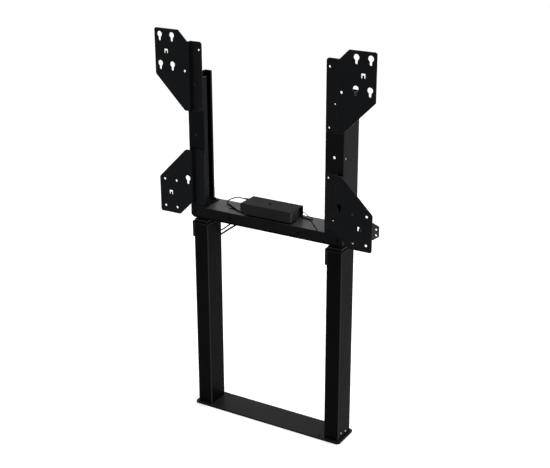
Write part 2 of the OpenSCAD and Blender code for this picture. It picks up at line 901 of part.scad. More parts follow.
module upright(side) {
    color(black)
        on_side(side)
            difference() {
                translate([0, 0, beam_top])
                    linear_extrude(upright_h)
                        polygon(upright_section(side));
                intersection() {
                    union() {
                        front_hole(far_hole_x, display_z + upper_far_z, small_hole_d);
                        front_hole(near_hole_x, display_z + upper_near_z, flange_hole_d);
                        front_hole(far_hole_x, display_z + middle_hole_z, upright_hole_d);
                        front_hole(near_hole_x, display_z + lower_near_z, flange_hole_d);
                        front_hole(far_hole_x, display_z + lower_far_z, small_hole_d);
                    }
                    translate([0, beam_front - cut, beam_top])
                        cube([2 * upright_out, front_lip, upright_h]);
                }
                for (p = web_holes)
                    translate([upright_out - sheet - cut, p.x, display_z + p.y])
                        rotate([0, 90, 0])
                            cylinder(d = p.z, h = sheet + 2 * cut);
                at_lug_bolts()
                    rotate([90, 0, 0])
                        rod(lug_bolt_d + 2 * bolt_fit, -cut, sheet + cut);
            }
}

// Plan of the right-hand foot plate, which lies inside the upright's folds
function foot_outline() =
    let (
        front = beam_front + sheet + weld_fit,
        back = beam_back - sheet - weld_fit,
        outer = upright_out - sheet - weld_fit,
        inner = upright_in + sheet + foot_clear,
        step_x = upright_out - rear_flange + sheet + foot_clear,
        step_y = beam_back - rear_lip - foot_clear,
        r = bend_r - sheet + 0.5
    )
    rounded([[inner, front], [outer, front], [outer, back], [step_x, back], [step_x, step_y], [inner,
            step_y]],
        [r, r, r, r, 0, r]);

module upright_feet() {
    color(black)
        difference() {
            for (side = sides)
                on_side(side)
                    translate([0, 0, beam_top])
                        linear_extrude(foot_plate_t)
                            polygon(foot_outline());
            at_upright_bolts()
                rod(bolt_d + 2 * bolt_fit, beam_top - cut, beam_top + foot_plate_t + cut);
        }
}

module upright_bolts() {
    grip = foot_plate_t + 2 * sheet;
    nut_t = 6.5;
    color(zinc)
        at_upright_bolts() {
            translate([0, 0, beam_top + foot_plate_t])
                bolt(bolt_d, bolt_head_d, bolt_head_h, grip + nut_t + 1);
            translate([0, 0, beam_top - 2 * sheet - nut_t])
                cylinder(d = bolt_head_d, h = nut_t, $fn = 6);
        }
}

// Display plates

// Section of a right-hand display plate, seen from above: plate, joggle and inner flange
function joggle_section() =
    let (
        f = plate_front,
        b = beam_front,
        t = sheet,
        j = joggle_x,
        inner_r = bend_r - t
    )
    rounded([[plate_out + cut, f], [j, f], [j, b - t], [flange_in - cut, b - t], [flange_in - cut, b],
            [j + t, b], [j + t, f + t], [plate_out + cut, f + t]],
        [0, bend_r, inner_r, 0, 0, bend_r, inner_r, 0]);

// Keyhole with its seat at one point of the grid
module keyhole(seat) {
    x = seat.x * grid;
    z = display_z + seat.y * grid;
    front_hole(x, z, screw_hole_d);
    front_hole(x, z + key_rise, key_d);
    translate([x - screw_hole_d / 2, plate_front - cut, z])
        cube([screw_hole_d, sheet + 2 * cut, key_rise]);
}

module grid_hole(at) {
    front_hole(at.x * grid, display_z + at.y * grid, screw_hole_d);
}

// Cut-out round a tongue that takes a cable tie
module tie_cutout(z) {
    tongue_w = 6;
    tongue_h = 9;
    translate([tie_x, plate_front - cut, display_z + z - tie_h / 2])
        difference() {
            translate([-tie_w / 2, 0, 0])
                cube([tie_w, sheet + 2 * cut, tie_h]);
            translate([-tongue_w / 2, 0, -cut])
                cube([tongue_w, sheet + 2 * cut, tongue_h + cut]);
        }
}

module plate_blank(outline, radii, bottom, top) {
    intersection() {
        translate([0, 0, display_z + bottom - cut])
            linear_extrude(top - bottom + 2 * cut)
                polygon(joggle_section());
        translate([0, 0, display_z])
            front_view(rounded(outline, radii), plate_front - cut, beam_front + cut);
    }
}

module upper_plate(side) {
    color(black)
        on_side(side)
            difference() {
                plate_blank([[flange_in, upper_bottom], [upper_slant_x, upper_bottom], [plate_out,
                        upper_slant_z],
                        [plate_out, upper_top], [upper_chamfer_x + upper_top - upper_flange_top, upper_top],
                        [upper_chamfer_x, upper_flange_top], [flange_in, upper_flange_top]],
                    [flange_corner_r, 15, plate_corner_r, plate_corner_r, 3, 2, flange_corner_r],
                    upper_bottom, upper_top);
                for (seat = key_seats)
                    keyhole(seat);
                grid_hole(upper_round);
                tie_cutout(upper_tie_z);
                front_hole(near_hole_x, display_z + upper_free_hole_z, flange_hole_d);
                front_hole(far_hole_x, display_z + upper_far_z, small_hole_d);
                front_hole(near_hole_x, display_z + upper_near_z, flange_hole_d);
            }
}

module lower_plate(side) {
    color(black)
        on_side(side)
            difference() {
                plate_blank([[flange_in, lower_top], [lower_slant_x, lower_top], [plate_out, lower_slant_z],
                        [plate_out, lower_bottom], [upper_chamfer_x + lower_flange_bottom - lower_bottom,
                                lower_bottom],
                        [upper_chamfer_x, lower_flange_bottom], [flange_in, lower_flange_bottom]],
                    [flange_corner_r, 15, plate_corner_r, plate_corner_r, 3, 2, flange_corner_r],
                    lower_bottom, lower_top);
                for (at = lower_rounds)
                    grid_hole(at);
                keyhole(lower_key);
                tie_cutout(lower_tie_z);
                front_hole(near_hole_x, display_z + lower_near_z, flange_hole_d);
                front_hole(far_hole_x, display_z + lower_far_z, small_hole_d);
            }
}

// Rear lugs

// Front view of the right-hand lug: a root on the upright and a tapered part beside the beam's end
function lug_outline() =
    let (
        root = upright_out - rear_flange + lug_root_inset,
        hang_in = upright_out + lug_clear,
        root_z = beam_top + lug_root_rise,
        low = beam_top - lug_hang,
        end_low = low + lug_end_rise
    )
    [[root, root_z], [hang_in, root_z], [hang_in, low + lug_low_chamfer], [hang_in + lug_low_chamfer, low],
        [lug_out - lug_taper, low], [lug_out, end_low], [lug_out, end_low + lug_end_h],
        [hang_in, root_z + lug_root_h], [root, root_z + lug_root_h]];

module rear_lug(side) {
    hole_z = beam_top - lug_hang + lug_end_rise + lug_end_h / 2 - lug_hole_drop;
    color(zinc)
        difference() {
            on_side(side)
                front_view(rounded(lug_outline(), [3, 4, 3, 3, 3, 2, 2, 3, 3]), beam_back,
                        beam_back + sheet);
            for (z = [-1, 1])
                front_hole(side * (lug_out - lug_hole_inset), hole_z + z * lug_hole_gap / 2, lug_hole_d);
            at_lug_bolts()
                rotate([90, 0, 0])
                    rod(lug_bolt_d + 2 * bolt_fit, -sheet - cut, cut);
        }
}

module lug_bolts() {
    color(zinc)
        at_lug_bolts() {
            translate([0, sheet, 0])
                rotate([-90, 0, 0])
                    bolt(lug_bolt_d, lug_head_d, lug_head_h, 2 * sheet + lug_nut_t + 1);
            translate([0, -sheet - lug_nut_t, 0])
                rotate([-90, 0, 0])
                    cylinder(d = lug_head_d, h = lug_nut_t, $fn = 6);
        }
}

// Power supply

module psu_cover() {
    color(black)
        difference() {
            union() {
                translate([psu_left, 0, 0])
                    rotate([90, 0, 90])
                        linear_extrude(psu_len)
                            polygon(rounded([[psu_front, beam_top], [psu_front, psu_top],
                                    [psu_back, psu_top], [psu_back, beam_top],
                                    [psu_back - psu_sheet, beam_top],
                                    [psu_back - psu_sheet, psu_top - psu_sheet],
                                    [psu_front + psu_sheet, psu_top - psu_sheet],
                                    [psu_front + psu_sheet, beam_top]],
                                [0, psu_corner_r, psu_corner_r, 0, 0, 1, 1, 0]));
                translate([psu_right - psu_sheet, psu_front, beam_top])
                    cube([psu_sheet, psu_flange_w, psu_h - psu_corner_r]);
            }
            translate([psu_screw_at.x, psu_screw_at.y, 0])
                rod(psu_thread_d + 2 * bolt_fit, psu_top - psu_sheet - cut, psu_top + cut);
            front_view([[psu_left - cut, beam_top - cut], [psu_left + psu_notch.x, beam_top - cut],
                    [psu_left + psu_notch.x, beam_top], [psu_left, beam_top + psu_notch.y],
                    [psu_left - cut, beam_top + psu_notch.y]],
                psu_front - cut, psu_front + psu_sheet + cut);
        }
}

module psu_screw() {
    color(black_screw)
        translate([psu_screw_at.x, psu_screw_at.y, 0]) {
            rod(psu_thread_d, psu_top - psu_sheet, psu_top + psu_head_t / 2);
            rod(psu_screw_d, psu_top, psu_top + psu_head_t);
        }
}

module psu_unit() {
    color(plastic)
        translate([(psu_left + psu_right) / 2, psu_y, 0])
            slab(psu_len - 2 * unit_inset, psu_dep - 2 * psu_sheet - 2 * unit_gap, unit_r, beam_top,
                    psu_top - psu_sheet);
}

module strain_relief() {
    exit_x = psu_left + unit_inset;
    root_wall = 1.5;
    tip_wall = 0.8;
    color(plastic)
        translate([exit_x, power_route[0].y, power_route[0].z])
            rotate([0, -90, 0])
                cylinder(d1 = power_lead_d + 2 * root_wall, d2 = power_lead_d + 2 * tip_wall,
                        h = exit_x - power_route[0].x);
}

module power_lead() {
    color(plastic)
        lead(power_route, power_lead_d, 10);
}

module signal_lead() {
    color(plastic)
        lead(signal_route, signal_lead_d, 8);
}

module column_lead(route, d) {
    color(plastic)
        lead(route, d, 8);
}

base_plate();
foot_blocks();
foot_bolts();
outer_tube(left);  // outer_tube_left
outer_tube(right);  // outer_tube_right
outer_rim(left);  // outer_rim_left
outer_rim(right);  // outer_rim_right
switch_housing(left);  // switch_housing_left
switch_housing(right);  // switch_housing_right
nut_post(left);  // nut_post_left
nut_post(right);  // nut_post_right
post_nuts();
middle_tube(left);  // middle_tube_left
middle_tube(right);  // middle_tube_right
middle_collar(left);  // middle_collar_left
middle_collar(right);  // middle_collar_right
middle_foot(left);  // middle_foot_left
middle_foot(right);  // middle_foot_right
middle_post(left);  // middle_post_left
middle_post(right);  // middle_post_right
middle_nut(left);  // middle_nut_left
middle_nut(right);  // middle_nut_right
spindle_bearing(left);  // spindle_bearing_left
spindle_bearing(right);  // spindle_bearing_right
hollow_spindle(left);  // hollow_spindle_left
hollow_spindle(right);  // hollow_spindle_right
drive_spindle(left);  // drive_spindle_left
drive_spindle(right);  // drive_spindle_right
inner_tube(left);  // inner_tube_left
inner_tube(right);  // inner_tube_right
inner_feet();
gearmotor(left);  // gearmotor_left
gearmotor(right);  // gearmotor_right
head_plates();
head_bolts();
saddles();
beam();
beam_tray();
tray_screws();
upright(left);  // upright_left
upright(right);  // upright_right
upright_feet();
upright_bolts();
upper_plate(left);  // upper_plate_left
upper_plate(right);  // upper_plate_right
lower_plate(left);  // lower_plate_left
lower_plate(right);  // lower_plate_right
rear_lug(left);  // rear_lug_left
rear_lug(right);  // rear_lug_right
lug_bolts();
psu_cover();
psu_unit();
psu_screw();
control_box();
strain_relief();
power_lead();
signal_lead();
column_lead(upper_lead_route, upper_lead_d);  // column_lead_upper
column_lead(lower_lead_route, lower_lead_d);  // column_lead_lower
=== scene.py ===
"""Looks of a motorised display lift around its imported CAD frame. All lengths are in metres."""

import math

import bmesh
import bpy
from mathutils import Matrix, Vector


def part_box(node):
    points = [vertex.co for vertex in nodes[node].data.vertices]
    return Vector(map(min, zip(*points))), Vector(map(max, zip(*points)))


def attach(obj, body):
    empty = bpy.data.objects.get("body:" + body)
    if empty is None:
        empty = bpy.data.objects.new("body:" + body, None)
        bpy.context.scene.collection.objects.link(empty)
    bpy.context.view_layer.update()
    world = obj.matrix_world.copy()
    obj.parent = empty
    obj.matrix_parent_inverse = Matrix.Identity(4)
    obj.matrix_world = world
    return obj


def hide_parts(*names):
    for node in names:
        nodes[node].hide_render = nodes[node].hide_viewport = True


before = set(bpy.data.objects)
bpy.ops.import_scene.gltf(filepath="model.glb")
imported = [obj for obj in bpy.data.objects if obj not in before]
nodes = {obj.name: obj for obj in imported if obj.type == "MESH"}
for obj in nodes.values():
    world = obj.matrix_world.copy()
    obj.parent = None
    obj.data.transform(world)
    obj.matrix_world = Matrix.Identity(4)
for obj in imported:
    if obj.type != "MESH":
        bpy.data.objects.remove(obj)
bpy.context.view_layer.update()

MM = 0.001
UP = Vector((0.0, 0.0, 1.0))

# Camera, as fitted to the photograph: angles in radians, sensor width in millimetres
AZIMUTH = 0.53540
ELEVATION = 0.36520
ROLL = -0.0024
FOCAL_PX = 1140.689
PHOTO_WIDTH_PX = 550.0
SENSOR_WIDTH = 36.0
EYE = Vector((1.91267, -3.20305, 2.15317))


def add_object(name, data):
    """New object in the scene, made of the given mesh, lamp or camera data."""
    obj = bpy.data.objects.new(name, data)
    bpy.context.scene.collection.objects.link(obj)
    return obj


def make_camera():
    """Camera at the photograph's place, with its direction, roll and focal length."""
    forward = Vector((-math.sin(AZIMUTH) * math.cos(ELEVATION),
                      math.cos(AZIMUTH) * math.cos(ELEVATION),
                      -math.sin(ELEVATION)))
    level = Vector((math.cos(AZIMUTH), math.sin(AZIMUTH), 0.0))
    above = level.cross(forward)
    right = math.cos(ROLL) * level + math.sin(ROLL) * above
    up = math.cos(ROLL) * above - math.sin(ROLL) * level
    data = bpy.data.cameras.new("camera")
    data.sensor_fit = "HORIZONTAL"
    data.sensor_width = SENSOR_WIDTH
    data.lens = FOCAL_PX * SENSOR_WIDTH / PHOTO_WIDTH_PX
    data.clip_start = 0.05
    data.clip_end = 60.0
    camera = add_object("camera", data)
    turn = Matrix((right, up, -forward)).transposed()
    camera.matrix_world = Matrix.Translation(EYE) @ turn.to_4x4()
    bpy.context.scene.camera = camera


make_camera()


# Shader building blocks

# Cosine of the lean between bevelled and true normal, where the lighter tone of edges, wear with a
# painted highlight, is full and where it is none
EDGE_WEAR_AND_HIGHLIGHT_FULL = 0.80
EDGE_WEAR_AND_HIGHLIGHT_NONE = 0.985


def new_material(name):
    mat = bpy.data.materials.new(name)
    mat.use_nodes = True
    tree = mat.node_tree
    return mat, tree, tree.nodes["Principled BSDF"]


def brighter(colour, times):
    return tuple(min(1.0, times * channel) for channel in colour)


def coords(tree, stretch=(1.0, 1.0, 1.0)):
    """The piece's own coordinates in metres, scaled along each axis."""
    where = tree.nodes.new("ShaderNodeTexCoord")
    scale = tree.nodes.new("ShaderNodeMapping")
    scale.inputs["Scale"].default_value = stretch
    tree.links.new(where.outputs["Object"], scale.inputs["Vector"])
    return scale.outputs["Vector"]


def noise(tree, vector, scale, detail=2.0, rough=0.5):
    tex = tree.nodes.new("ShaderNodeTexNoise")
    tex.inputs["Scale"].default_value = scale
    tex.inputs["Detail"].default_value = detail
    tex.inputs["Roughness"].default_value = rough
    tree.links.new(vector, tex.inputs["Vector"])
    return tex.outputs["Fac"]


def spread(tree, value, low, high, new_low=0.0, new_high=1.0):
    """The value's range from low to high, stretched over new_low to new_high and cut off there."""
    ranged = tree.nodes.new("ShaderNodeMapRange")
    ranged.inputs["From Min"].default_value = low
    ranged.inputs["From Max"].default_value = high
    ranged.inputs["To Min"].default_value = new_low
    ranged.inputs["To Max"].default_value = new_high
    tree.links.new(value, ranged.inputs["Value"])
    return ranged.outputs["Result"]


def calculate(tree, operation, *values):
    """One math node on one or two sockets."""
    node = tree.nodes.new("ShaderNodeMath")
    node.operation = operation
    for value, socket in zip(values, node.inputs):
        tree.links.new(value, socket)
    return node.outputs["Value"]


def mix(tree, factor, a, b):
    """Colour a where the factor is 0 and b where it is 1; each is an RGB triple or a socket."""
    node = tree.nodes.new("ShaderNodeMix")
    node.data_type = "RGBA"
    tree.links.new(factor, node.inputs["Factor"])
    for socket, colour in ((node.inputs["A"], a), (node.inputs["B"], b)):
        if isinstance(colour, (tuple, list)):
            socket.default_value = (*colour, 1.0)
        else:
            tree.links.new(colour, socket)
    return node.outputs["Result"]


def edge_mask(tree, radius):
    """A mask that is near 1 along sharp edges, and the bevelled normal it was made from."""
    bevel = tree.nodes.new("ShaderNodeBevel")
    bevel.samples = 6
    bevel.inputs["Radius"].default_value = radius
    flat = tree.nodes.new("ShaderNodeNewGeometry")
    lean = tree.nodes.new("ShaderNodeVectorMath")
    lean.operation = "DOT_PRODUCT"
    tree.links.new(bevel.outputs["Normal"], lean.inputs[0])
    tree.links.new(flat.outputs["Normal"], lean.inputs[1])
    return spread(tree, lean.outputs["Value"], EDGE_WEAR_AND_HIGHLIGHT_NONE, EDGE_WEAR_AND_HIGHLIGHT_FULL), bevel.outputs["Normal"]


def bump(tree, shader, height, strength, distance, normal=None):
    node = tree.nodes.new("ShaderNodeBump")
    node.inputs["Strength"].default_value = strength
    node.inputs["Distance"].default_value = distance
    tree.links.new(height, node.inputs["Height"])
    if normal is not None:
        tree.links.new(normal, node.inputs["Normal"])
    tree.links.new(node.outputs["Normal"], shader.inputs["Normal"])


def uneven_roughness(tree, shader, pattern, rough, less, more):
    """Roughness that wanders with the pattern from rough - less to rough + more."""
    wander = spread(tree, pattern, 0.3, 0.7, rough - less, rough + more)
    tree.links.new(wander, shader.inputs["Roughness"])


def normal_parts(tree):
    """X, Y and Z of the surface's normal, as the outputs of one node."""
    flat = tree.nodes.new("ShaderNodeNewGeometry")
    split = tree.nodes.new("ShaderNodeSeparateXYZ")
    tree.links.new(flat.outputs["Normal"], split.inputs["Vector"])
    return split.outputs


def facing_up(tree):
    """1 on upward faces, where dust and a painted top light go, and 0 on upright ones."""
    return spread(tree, normal_parts(tree)["Z"], 0.6, 0.95)


def corner_highlight_band(tree):
    """Where a highlight is painted: 1 half-way round an upright rounded corner and 0 on the flat faces
    beside it.

    The product of the normal's X and Y is 0 on the flat faces and reaches 0.5 half-way round.
    """
    normal = normal_parts(tree)
    both = calculate(tree, "MULTIPLY", normal["X"], normal["Y"])
    return spread(tree, calculate(tree, "ABSOLUTE", both), 0.22, 0.44)


# Kinds of material

def powder_coat(name, dark, light, edge_wear_and_highlight, dust_and_top_light, rough, level, top_level,
                grain=0.16, pits=1500.0, corner_highlight=None):
    """Satin powder coat: cloudy tone, fine orange peel, light edges and light upward faces.

    dark and light are the ends of the cloudy tone. The tone of edges is wear with a painted
    highlight, and the tone of upward faces is dust with a painted top light. level and top_level say
    how strongly upright and upward faces reflect; a stronger reflection of upward faces is painted
    top light as well. grain is the strength of the orange peel and pits its fineness. The corner
    tone, where it is given, is a painted highlight half-way round a rounded upright corner.
    """
    mat, tree, shader = new_material(name)
    where = coords(tree)
    up = facing_up(tree)
    cloud = spread(tree, noise(tree, where, scale=7.0, detail=3.0, rough=0.55), 0.35, 0.65)
    speck = spread(tree, noise(tree, where, scale=420.0, detail=1.0), 0.56, 0.74, 0.0, 0.5)
    patchy = spread(tree, noise(tree, where, scale=60.0, detail=3.0, rough=0.6), 0.3, 0.62, 0.35, 1.0)
    worn_and_lit_edges, soft_normal = edge_mask(tree, radius=0.9 * MM)
    body = mix(tree, cloud, dark, light)
    body = mix(tree, speck, body, brighter(light, 1.5))
    # Upward faces take a lighter tone: dust, with a painted top light on it
    body = mix(tree, up, body, mix(tree, cloud, dust_and_top_light, brighter(dust_and_top_light, 1.25)))
    # Edges take a lighter tone, partly wear and partly a painted highlight
    body = mix(tree, calculate(tree, "MULTIPLY", worn_and_lit_edges, patchy), body, edge_wear_and_highlight)
    # Painted highlight half-way round the rounded upright corners
    if corner_highlight:
        body = mix(tree, corner_highlight_band(tree), body, corner_highlight)
    tree.links.new(body, shader.inputs["Base Color"])
    uneven_roughness(tree, shader, noise(tree, where, scale=24.0), rough, less=0.035, more=0.045)
    # Upward faces reflect more strongly than upright ones, which is painted top light
    reflection = spread(tree, up, 0.0, 1.0, level, top_level)
    tree.links.new(reflection, shader.inputs["Specular IOR Level"])
    peel = noise(tree, where, scale=pits, detail=2.0, rough=0.45)
    bump(tree, shader, peel, strength=grain, distance=0.4 * MM, normal=soft_normal)
    return mat


def plastic(name, dark, light, rough, level):
    """Moulded plastic with a fine spark-eroded texture."""
    mat, tree, shader = new_material(name)
    where = coords(tree)
    tone = spread(tree, noise(tree, where, scale=30.0), 0.35, 0.65)
    worn_and_lit_edges, soft_normal = edge_mask(tree, radius=0.6 * MM)
    body = mix(tree, tone, dark, light)
    # Edges take a lighter tone, partly wear and partly a painted highlight
    body = mix(tree, worn_and_lit_edges, body, brighter(light, 1.8))
    tree.links.new(body, shader.inputs["Base Color"])
    uneven_roughness(tree, shader, noise(tree, where, scale=90.0), rough, less=0.05, more=0.05)
    shader.inputs["Specular IOR Level"].default_value = level
    texture = noise(tree, where, scale=2600.0, detail=3.0, rough=0.6)
    bump(tree, shader, texture, strength=0.22, distance=0.3 * MM, normal=soft_normal)
    return mat


def jacket(name, dark, light, rough, level):
    """Soft cable jacket, whose look also serves the strips of painted shadow: faint flow lines, specks
    of dust and a slow ripple.
    """
    mat, tree, shader = new_material(name)
    where = coords(tree)
    tone = spread(tree, noise(tree, where, scale=55.0), 0.3, 0.7)
    dust_and_top_light = spread(tree, noise(tree, where, scale=700.0, detail=1.0), 0.6, 0.8, 0.0, 0.4)
    body = mix(tree, dust_and_top_light, mix(tree, tone, dark, light), brighter(light, 2.2))
    tree.links.new(body, shader.inputs["Base Color"])
    uneven_roughness(tree, shader, noise(tree, where, scale=160.0), rough, less=0.06, more=0.06)
    shader.inputs["Specular IOR Level"].default_value = level
    bump(tree, shader, noise(tree, where, scale=380.0), strength=0.12, distance=0.3 * MM)
    return mat


def metal(name, dark, light, rough, stretch, lines, grain):
    """Metal with turned, drawn or plated streaks, which run along the axes where stretch is small."""
    mat, tree, shader = new_material(name)
    streak = noise(tree, coords(tree, stretch), scale=lines, detail=3.0, rough=0.6)
    stain = noise(tree, coords(tree), scale=45.0, detail=3.0, rough=0.6)
    body = mix(tree, spread(tree, stain, 0.3, 0.7), dark, light)
    body = mix(tree, spread(tree, streak, 0.35, 0.7, 0.0, 0.5), body, brighter(light, 1.2))
    tree.links.new(body, shader.inputs["Base Color"])
    shader.inputs["Metallic"].default_value = 1.0
    uneven_roughness(tree, shader, streak, rough, less=0.07, more=0.1)
    _, soft_normal = edge_mask(tree, radius=0.5 * MM)
    bump(tree, shader, streak, strength=grain, distance=0.2 * MM, normal=soft_normal)
    return mat


# Powder coats

COAT = powder_coat(
    "satin_black_coat",
    dark=(0.0030, 0.0034, 0.0042), light=(0.0050, 0.0054, 0.0062),
    edge_wear_and_highlight=(0.045, 0.046, 0.050), dust_and_top_light=(0.023, 0.023, 0.023),
    rough=0.36, level=0.026, top_level=0.160)
# Darker, duller copy of the black coat: painted shade on the tray, saddles and head plates under the
# beam, and painted shadow on the beam top at the upright feet
SHADE_PAINTED_COAT = powder_coat(
    "black_coat_painted_shade",
    dark=(0.0014, 0.0015, 0.0018), light=(0.0024, 0.0025, 0.0028),
    edge_wear_and_highlight=(0.010, 0.010, 0.011), dust_and_top_light=(0.0030, 0.0030, 0.0032),
    rough=0.50, level=0.012, top_level=0.020)
BASE_COAT = powder_coat(
    "base_black_coat",
    dark=(0.0034, 0.0036, 0.0040), light=(0.0052, 0.0054, 0.0058),
    edge_wear_and_highlight=(0.045, 0.046, 0.048), dust_and_top_light=(0.0110, 0.0110, 0.0112),
    rough=0.40, level=0.040, top_level=0.040)
PLATE_COAT = powder_coat(
    "plate_black_coat",
    dark=(0.0032, 0.0036, 0.0044), light=(0.0050, 0.0055, 0.0064),
    edge_wear_and_highlight=(0.080, 0.083, 0.088), dust_and_top_light=(0.016, 0.016, 0.016),
    rough=0.40, level=0.045, top_level=0.110)
# The tube coat carries a painted highlight half-way round the tubes' rounded upright corners
TUBE_COAT = powder_coat(
    "tube_black_coat",
    dark=(0.0022, 0.0023, 0.0026), light=(0.0036, 0.0037, 0.0040),
    edge_wear_and_highlight=(0.026, 0.026, 0.028), dust_and_top_light=(0.0080, 0.0080, 0.0080),
    rough=0.42, level=0.013, top_level=0.050,
    grain=0.10, pits=1100.0, corner_highlight=(0.034, 0.034, 0.035))
COVER_COAT = powder_coat(
    "cover_black_coat",
    dark=(0.0130, 0.0130, 0.0133), light=(0.0170, 0.0170, 0.0173),
    edge_wear_and_highlight=(0.050, 0.050, 0.052), dust_and_top_light=(0.0130, 0.0130, 0.0132),
    rough=0.50, level=0.022, top_level=0.018, grain=0.14)
# Light grey coat for a thin sheet on the cover's end flange, a painted reflection
FLANGE_REFLECTION_COAT = powder_coat(
    "flange_painted_reflection",
    dark=(0.058, 0.058, 0.0585), light=(0.070, 0.070, 0.0705),
    edge_wear_and_highlight=(0.095, 0.095, 0.096), dust_and_top_light=(0.040, 0.040, 0.040),
    rough=0.46, level=0.04, top_level=0.04, grain=0.12)

# Plastics, painted shadow strips and lead jackets

RIM_PLASTIC = plastic(
    "moulded_black_plastic",
    dark=(0.0044, 0.0045, 0.0048), light=(0.0066, 0.0067, 0.0071), rough=0.46, level=0.06)
# Its grey is partly the plastic's own tone and partly painted light against the shade of the recess
# where the unit sits in the cover
UNIT_PLASTIC = plastic(
    "grained_black_plastic",
    dark=(0.0300, 0.0300, 0.0303), light=(0.0400, 0.0400, 0.0403), rough=0.42, level=0.08)
SCREW_BLACK = plastic(
    "blackened_screw",
    dark=(0.0012, 0.0012, 0.0013), light=(0.0020, 0.0020, 0.0021), rough=0.50, level=0.008)
# Near-black strips that paint the shadow along the foot of the power supply's cover
SHADOW_STRIP = jacket(
    "painted_shadow_strip",
    dark=(0.0008, 0.0008, 0.0009), light=(0.0014, 0.0014, 0.0015), rough=0.85, level=0.0)
JACKET = jacket(
    "lead_jacket_pvc",
    dark=(0.0010, 0.0010, 0.0011), light=(0.0016, 0.0016, 0.0017), rough=0.66, level=0.004)

# Metals

ZINC = metal(
    "zinc_plate",
    dark=(0.36, 0.37, 0.385), light=(0.50, 0.51, 0.525),
    rough=0.30, stretch=(1.0, 1.0, 1.0), lines=520.0, grain=0.08)
DRAWN_STEEL = metal(
    "drawn_steel",
    dark=(0.40, 0.40, 0.41), light=(0.54, 0.54, 0.55),
    rough=0.27, stretch=(1.0, 1.0, 0.02), lines=900.0, grain=0.12)
TURNED_STEEL = metal(
    "turned_steel",
    dark=(0.42, 0.42, 0.43), light=(0.56, 0.56, 0.57),
    rough=0.24, stretch=(0.03, 0.03, 1.0), lines=1100.0, grain=0.22)
BRONZE = metal(
    "cast_bronze",
    dark=(0.44, 0.26, 0.11), light=(0.60, 0.39, 0.18),
    rough=0.34, stretch=(0.05, 0.05, 1.0), lines=700.0, grain=0.12)
LUG_GREY = metal(
    "grey_plated_sheet",
    dark=(0.036, 0.036, 0.037), light=(0.052, 0.052, 0.053),
    rough=0.42, stretch=(1.0, 1.0, 0.4), lines=260.0, grain=0.06)


# Which material each CAD node gets

def pair(name):
    return [name + "_left", name + "_right"]


LOOKS = (
    (COAT, ["beam"] + pair("upright")),
    # The darker coat paints shade on the tray, saddles and head plates, and shadow on the upright feet
    (SHADE_PAINTED_COAT, ["beam_tray", "saddles", "head_plates", "upright_feet"]),
    (BASE_COAT, ["base_plate"]),
    (PLATE_COAT, pair("upper_plate") + pair("lower_plate")),
    (TUBE_COAT, pair("outer_tube") + pair("middle_tube") + pair("inner_tube")),
    (COVER_COAT, ["psu_cover"]),
    (RIM_PLASTIC, ["inner_feet"] + pair("outer_rim") + pair("middle_collar")
     + pair("middle_foot") + pair("switch_housing")),
    (UNIT_PLASTIC, ["psu_unit", "control_box"]),
    (JACKET, ["strain_relief", "power_lead", "signal_lead", "column_lead_upper",
              "column_lead_lower"]),
    (SCREW_BLACK, ["tray_screws", "psu_screw", "upright_bolts", "head_bolts", "lug_bolts"]),
    (ZINC, ["foot_bolts"] + pair("gearmotor")),
    (LUG_GREY, pair("rear_lug")),
    (DRAWN_STEEL, ["foot_blocks"] + pair("nut_post") + pair("middle_post")
     + pair("spindle_bearing")),
    (TURNED_STEEL, pair("hollow_spindle") + pair("drive_spindle")),
    (BRONZE, ["post_nuts"] + pair("middle_nut")),
)
for material, names in LOOKS:
    for name in names:
        slots = nodes[name].material_slots
        if not slots:
            nodes[name].data.materials.append(material)
        for slot in slots:
            slot.material = material


# Leads, along the same points as the CAD routes, in millimetres

POWER_ROUTE = (
    (-130, 31, 826), (-142, 31, 826), (-155, 31.8, 825.8), (-167, 33, 823.2), (-178, 34, 819),
    (-187.5, 33.8, 814.4), (-195.9, 32.2, 809.7), (-198.8, 29.9, 806.5), (-199.7, 26.4, 803.1),
    (-198.2, 22.6, 800.6), (-194.8, 19.3, 799.6), (-185.7, 14.4, 799.3), (-158.6, -3.2, 799.3),
    (-143, -13.7, 799.3), (-128, -23, 799.3), (-114, -29.2, 799.3), (-97.6, -34.2, 799.2),
    (-94.3, -35.2, 798.5), (-91.5, -36.1, 796.6), (-89.7, -36.7, 793.6), (-89, -36.9, 788.6))
SIGNAL_ROUTE = (
    (90, 36, 818), (96, 36, 818), (106, 36.8, 815.4), (114, 37.6, 811), (122, 38, 806),
    (130, 37.8, 802.4), (137, 37.2, 799.8), (142.4, 35.4, 798.6), (145.4, 31.4, 798.5),
    (143, 27, 798.5), (137.4, 26.4, 798.5), (130, 29.6, 798.5), (114, 35.8, 798.5),
    (108, 34.6, 798.5), (105.2, 30, 798.5), (107.8, 25.4, 798.5), (114, 23.8, 798.5),
    (133, 23.8, 798.5), (141, 20, 798.5), (150, 13, 798.5), (166, -5, 798.5), (200, -42, 798.5),
    (204.7, -47.3, 798.5), (206.4, -49, 797.9), (207.6, -50.2, 796.1), (208.1, -50.7, 793.6),
    (208.1, -50.7, 790))
UPPER_LEAD_ROUTE = (
    (-262, 45, 761), (-262, 45, 752), (-262, 46.4, 745), (-262, 49, 735.5), (-263.4, 49.6, 703),
    (-261, 49.6, 690.4), (-254.5, 49.6, 681.4), (-245, 49.6, 679.6), (-236, 49.6, 685),
    (-222, 49.6, 696.2), (-205, 49.5, 710), (-189, 49, 724.6), (-178, 48, 738),
    (-173, 46.6, 747.6), (-172, 45.8, 753), (-172, 45.8, 758))
